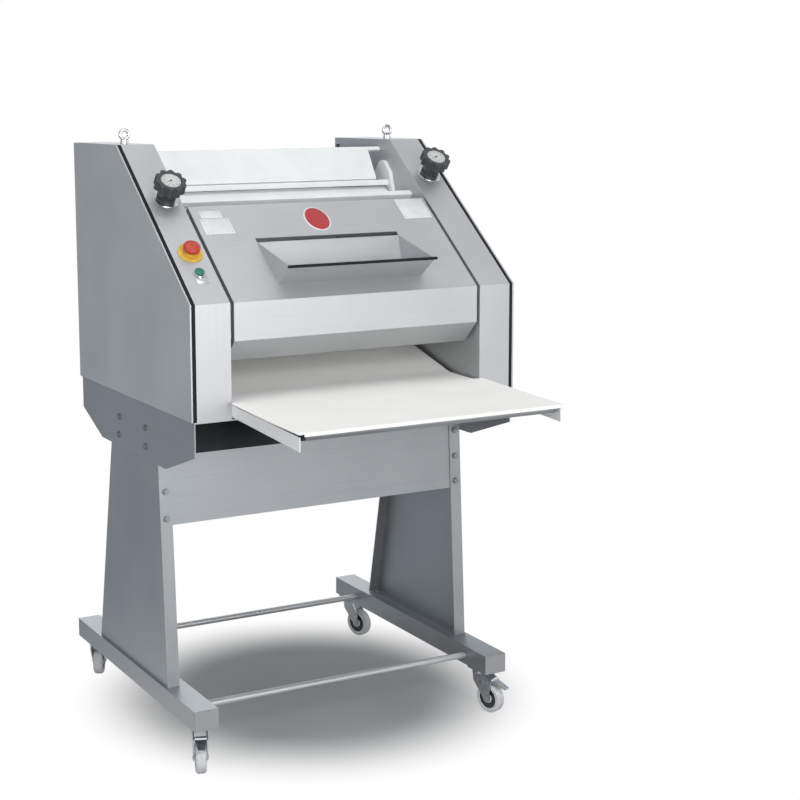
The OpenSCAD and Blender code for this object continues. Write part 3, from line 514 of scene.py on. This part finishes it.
def dial_marks(side, x, s):
    """Ticks, numbers, a pointer and its hub on a dial face."""
    bm = bmesh.new()
    for i in range(DIAL_TICKS):
        half, inner = (0.2, 20) if i % 5 else (0.35, 18.5)
        tick(bm, half, inner, 22.5, 0, 0.15, -i * math.tau / DIAL_TICKS)
    for i in range(DIAL_NUMBERS):
        text = bpy.data.curves.new("number", "FONT")
        text.body = str(i)
        text.size = NUMBER_SIZE * MM
        text.align_x, text.align_y = "CENTER", "CENTER"
        text.extrude = NUMBER_RELIEF * MM
        lettering = bpy.data.objects.new("number", text)
        shape = bpy.data.meshes.new_from_object(lettering)
        angle = -i * math.tau / DIAL_NUMBERS
        spot = Matrix.Translation((0, NUMBER_R * MM, NUMBER_RELIEF * MM))
        shape.transform(Matrix.Rotation(angle, 4, "Z") @ spot @ Matrix.Rotation(-angle, 4, "Z"))
        bm.from_mesh(shape)
        bpy.data.objects.remove(lettering)
        bpy.data.curves.remove(text)
        bpy.data.meshes.remove(shape)
    drawn_out = Matrix.Translation((0, 4 * MM, 0.5 * MM)) @ Matrix.Diagonal((0.55, 4.6, 1.0, 1.0))
    bmesh.ops.transform(bm, verts=peg(bm, 2.4, 2.4, 0.5, 3),
                        matrix=Matrix.Rotation(POINTER_TURN, 4, "Z") @ drawn_out)
    bmesh.ops.translate(bm, verts=peg(bm, 2.6, 2.0, 1.0), vec=(0, 0, 0.6 * MM))
    finish_piece(side + "_dial_marks", bm, dial_ink, side + "_knob",
                 at_slope(x, s, KNOB_TOP))


dial_marks("left", *LEFT_KNOB)
dial_marks("right", *RIGHT_KNOB)

# Plates on the guard: their thickness, the radius of a rivet's head and its share of a ball's height
PLATE, RIVET_R, RIVET_FLAT = 0.8, 1.6, 0.45


def guard_plate(name, x0, x1, s0, s1, mat):
    """A plain plate on the guard, held by a rivet in each corner."""
    bm = bmesh.new()
    slab(bm, (x0, s0, 0), (x1, s1, PLATE), 0.3)
    finish_piece(name, bm, mat, "guard", SLOPE)
    bm = bmesh.new()
    inset = min(6, (s1 - s0) / 4)
    for x in (x0 + inset, x1 - inset):
        for s in (s0 + inset, s1 - inset):
            head = bmesh.ops.create_uvsphere(bm, u_segments=12, v_segments=8, radius=RIVET_R * MM)
            spot = Matrix.Translation((x * MM, s * MM, PLATE * MM))
            bmesh.ops.transform(bm, verts=head["verts"],
                                matrix=spot @ Matrix.Diagonal((1, 1, RIVET_FLAT, 1)))
    finish_piece(name + "_rivets", bm, bright_steel, "guard", SLOPE)


# Dark edge trim on the rim of the feed tray: its half length, and its place up and off the slope
TRIM_HALF, TRAY_RIM = 195.6, (30.1, 72)
bm = bmesh.new()
turn(bm, [(0, -TRIM_HALF), (3.0, -TRIM_HALF), (3.5, 0.6 - TRIM_HALF), (3.5, TRIM_HALF - 0.6),
          (3.0, TRIM_HALF), (0, TRIM_HALF)], 20)
finish_piece("tray_rim_trim", bm, black_rubber, "guard",
             at_slope(0, *TRAY_RIM) @ Matrix.Rotation(math.pi / 2, 4, "Y"))

guard_plate("left_strip", -300, -246, 279, 304, white_enamel)
guard_plate("left_notice", -308, -233, 223, 277, white_enamel)
guard_plate("right_notice", 235, 314, 247, 318, white_enamel)

# Plain oval on the guard: a pale rim round a red field
OVAL = (-4, 261)
for name, half_x, half_s, low, high, mat, slot in (
        ("oval_rim", 34, 42, 0.0, 0.8, white_enamel, "white_plastic"),
        ("oval_field", 30, 38, 0.8, 1.2, red_enamel, "red_plastic")):
    bm = bmesh.new()
    turn(bm, [(0, 0), (1, 0), (1, 0.7), (0.985, 1), (0, 1)], 64)
    spot = at_slope(*OVAL, low) @ Matrix.Diagonal((half_x, half_s, high - low, 1.0))
    finish_piece(name, bm, mat, "guard", spot)

# Black discs inside the caster wheels, one on each face: a hub, a dished web and a rim
DISC = ((5, 8.4), (5, 12.2), (8, 12.2), (9.5, 10.6), (19, 9.6), (24, 11.4), (25.4, 11.4), (25.4, 8.4),
        (5, 8.4))
for caster in CASTERS:
    hinge = joints[caster + "_roll"]
    turned = Vector((0, 0, 1)).rotation_difference(Vector(hinge["axis"])).to_matrix().to_4x4()
    bm = bmesh.new()
    for way in (1, -1):
        turn(bm, [(r, z * way) for r, z in DISC], 40)
    spot = Matrix.Translation(Vector(hinge["pos_m"])) @ turned
    finish_piece(caster + "_disc", bm, black_disc, caster + "_wheel", spot)


# Studio: a floor painted grey under the machine as a painted shade, fading into a white backdrop, soft
# lamps and a pale world
ROOM_BACK, ROOM_WALL = "#b0b9c1", "#7b8187"
# The grey floor paint under the machine is a painted shade that deepens its shadow
FLOOR_SHADE_GREY, EVEN_LIGHT = "#a9aaab", "#f4f7fa"
FLOOR_R = 6.0
SHADOW_MIDDLE, SHADOW_INNER, SHADOW_OUTER = (0.06, 0.16, 0.0), 0.3, 0.63


def studio_floor():
    """Painted grey under the machine, a painted shade that darkens the floor where its shadow falls,
    and plain white to the eye beyond. In gloss it is the same pale room as the world."""
    bm = bmesh.new()
    bmesh.ops.create_circle(bm, cap_ends=True, segments=96, radius=FLOOR_R)
    mesh = bpy.data.meshes.new("floor")
    bm.to_mesh(mesh)
    bm.free()
    floor = bpy.data.objects.new("floor", mesh)
    bpy.context.scene.collection.objects.link(floor)
    mat = bpy.data.materials.new("floor_white_with_painted_shade")
    mat.use_nodes = True
    tree = mat.node_tree
    tree.nodes.clear()
    place = add(tree, "TexCoord").outputs["Object"]
    middle = add(tree, "VectorMath", {0: place, 1: SHADOW_MIDDLE}, operation="SUBTRACT")
    reach = add(tree, "VectorMath", {0: middle.outputs[0]}, operation="LENGTH")
    far = add(tree, "MapRange", {"Value": reach.outputs["Value"], "From Min": SHADOW_INNER,
                                 "From Max": SHADOW_OUTER}, interpolation_type="SMOOTHSTEP")
    ray = add(tree, "LightPath")
    seen = add(tree, "Math", {0: ray.outputs["Is Camera Ray"], 1: ray.outputs["Is Glossy Ray"]},
               operation="MAXIMUM")
    any_ray = add(tree, "Math", {0: seen.outputs[0], 1: ray.outputs["Is Transmission Ray"]},
                  operation="MAXIMUM")
    share = add(tree, "Math", {0: far.outputs[0], 1: any_ray.outputs[0]}, operation="MULTIPLY")
    # painted shade: grey paint near the machine, so its shadow and the floor round it read darker
    painted_shade = add(tree, "BsdfDiffuse", {"Color": colour(FLOOR_SHADE_GREY)})
    way = add(tree, "SeparateXYZ", {0: place})
    depth = add(tree, "MapRange", {"Value": way.outputs["Y"], "From Min": 0.0, "From Max": 1.2})
    room = add(tree, "Mix", {0: depth.outputs[0], 6: (1, 1, 1, 1), 7: colour(ROOM_BACK)},
               data_type="RGBA")
    shown = add(tree, "Mix", {0: ray.outputs["Is Camera Ray"], 6: room.outputs[2], 7: (1, 1, 1, 1)},
                data_type="RGBA")
    white = add(tree, "Emission", {"Color": shown.outputs[2], "Strength": 1.0})
    mixed = add(tree, "MixShader", {0: share.outputs[0], 1: painted_shade.outputs[0], 2: white.outputs[0]})
    add(tree, "OutputMaterial", {"Surface": mixed.outputs[0]})
    mesh.materials.append(mat)


def studio_world():
    """White to the camera, even light to matt surfaces, and to gloss a pale room that is dimmer at
    the back and high on the wall in front."""
    world = bpy.data.worlds.new("pale_studio")
    bpy.context.scene.world = world
    world.use_nodes = True
    tree = world.node_tree
    tree.nodes.clear()
    ray = add(tree, "LightPath")
    way = add(tree, "SeparateXYZ", {0: add(tree, "TexCoord").outputs["Generated"]})
    depth = add(tree, "MapRange", {"Value": way.outputs["Y"], "From Min": 0.15, "From Max": 0.8})
    open_room = add(tree, "Mix", {0: depth.outputs[0], 6: (1, 1, 1, 1), 7: colour(ROOM_BACK)},
                    data_type="RGBA")
    lift = add(tree, "Math", {0: way.outputs["Y"], 1: way.outputs["Z"]}, operation="ADD")
    above = add(tree, "MapRange", {"Value": lift.outputs[0], "From Min": -0.85, "From Max": -0.55})
    ahead = add(tree, "MapRange", {"Value": way.outputs["Y"], "From Min": -0.15, "From Max": -0.45})
    wall = add(tree, "Math", {0: above.outputs[0], 1: ahead.outputs[0]}, operation="MULTIPLY")
    room = add(tree, "Mix", {0: wall.outputs[0], 6: open_room.outputs[2], 7: colour(ROOM_WALL)},
               data_type="RGBA")
    seen = add(tree, "Math", {0: ray.outputs["Is Glossy Ray"], 1: ray.outputs["Is Transmission Ray"]},
               operation="MAXIMUM")
    even = add(tree, "Background", {"Color": colour(EVEN_LIGHT), "Strength": 0.3})
    gloss = add(tree, "Background", {"Color": room.outputs[2], "Strength": 1.0})
    white = add(tree, "Background", {"Color": (1, 1, 1, 1), "Strength": 1.0})
    object_light = add(tree, "MixShader", {0: seen.outputs[0], 1: even.outputs[0],
                                           2: gloss.outputs[0]})
    all_light = add(tree, "MixShader", {0: ray.outputs["Is Camera Ray"], 1: object_light.outputs[0],
                                        2: white.outputs[0]})
    add(tree, "OutputWorld", {"Surface": all_light.outputs[0]})


def softbox(name, place, aim, size, watts):
    """A soft rectangular lamp that the camera doesn't see, sizes in metres."""
    data = bpy.data.lights.new(name, "AREA")
    data.shape = "RECTANGLE"
    data.size, data.size_y = size
    data.energy = watts
    lamp = bpy.data.objects.new(name, data)
    bpy.context.scene.collection.objects.link(lamp)
    lamp.location = place
    lamp.rotation_euler = (Vector(aim) - Vector(place)).to_track_quat("-Z", "Y").to_euler()
    lamp.visible_camera = False


studio_floor()
studio_world()
softbox("key_lamp", (-0.5, -3.4, 1.9), (0, 0, 0.95), (2.0, 1.2), 60)
softbox("top_lamp", (-0.5, -1.1, 3.7), (0, -0.2, 0.9), (2.2, 2.2), 34)
softbox("side_lamp", (3.2, -0.8, 1.8), (0, 0, 0.9), (2.0, 2.0), 20)
softbox("front_lamp", (0.8, -3.9, 1.2), (0, 0, 0.9), (1.8, 1.2), 24)
softbox("left_lamp", (-3.2, -1.6, 1.0), (0, 0, 0.9), (1.6, 1.6), 40)
softbox("back_lamp", (1.2, 3.6, 1.9), (0, 0, 0.9), (2.4, 2.4), 30)


def photo_camera():
    """Camera fitted to the photograph: place in metres, angles in degrees, frame 800 by 800."""
    data = bpy.data.cameras.new("camera")
    data.sensor_width = 36.0
    data.lens = 73.72
    data.shift_x, data.shift_y = 0.1, -0.075
    camera = bpy.data.objects.new("camera", data)
    bpy.context.scene.collection.objects.link(camera)
    yaw, pitch, roll = (math.radians(a) for a in (27.63, 8.38, -0.4))
    camera.matrix_world = (Matrix.Translation((-1.8291, -3.5356, 1.5466))
                           @ Matrix.Rotation(-yaw, 4, "Z")
                           @ Matrix.Rotation(math.pi / 2 - pitch, 4, "X")
                           @ Matrix.Rotation(roll, 4, "Z"))
    bpy.context.scene.camera = camera


photo_camera()
bpy.context.scene.view_settings.view_transform = "Standard"
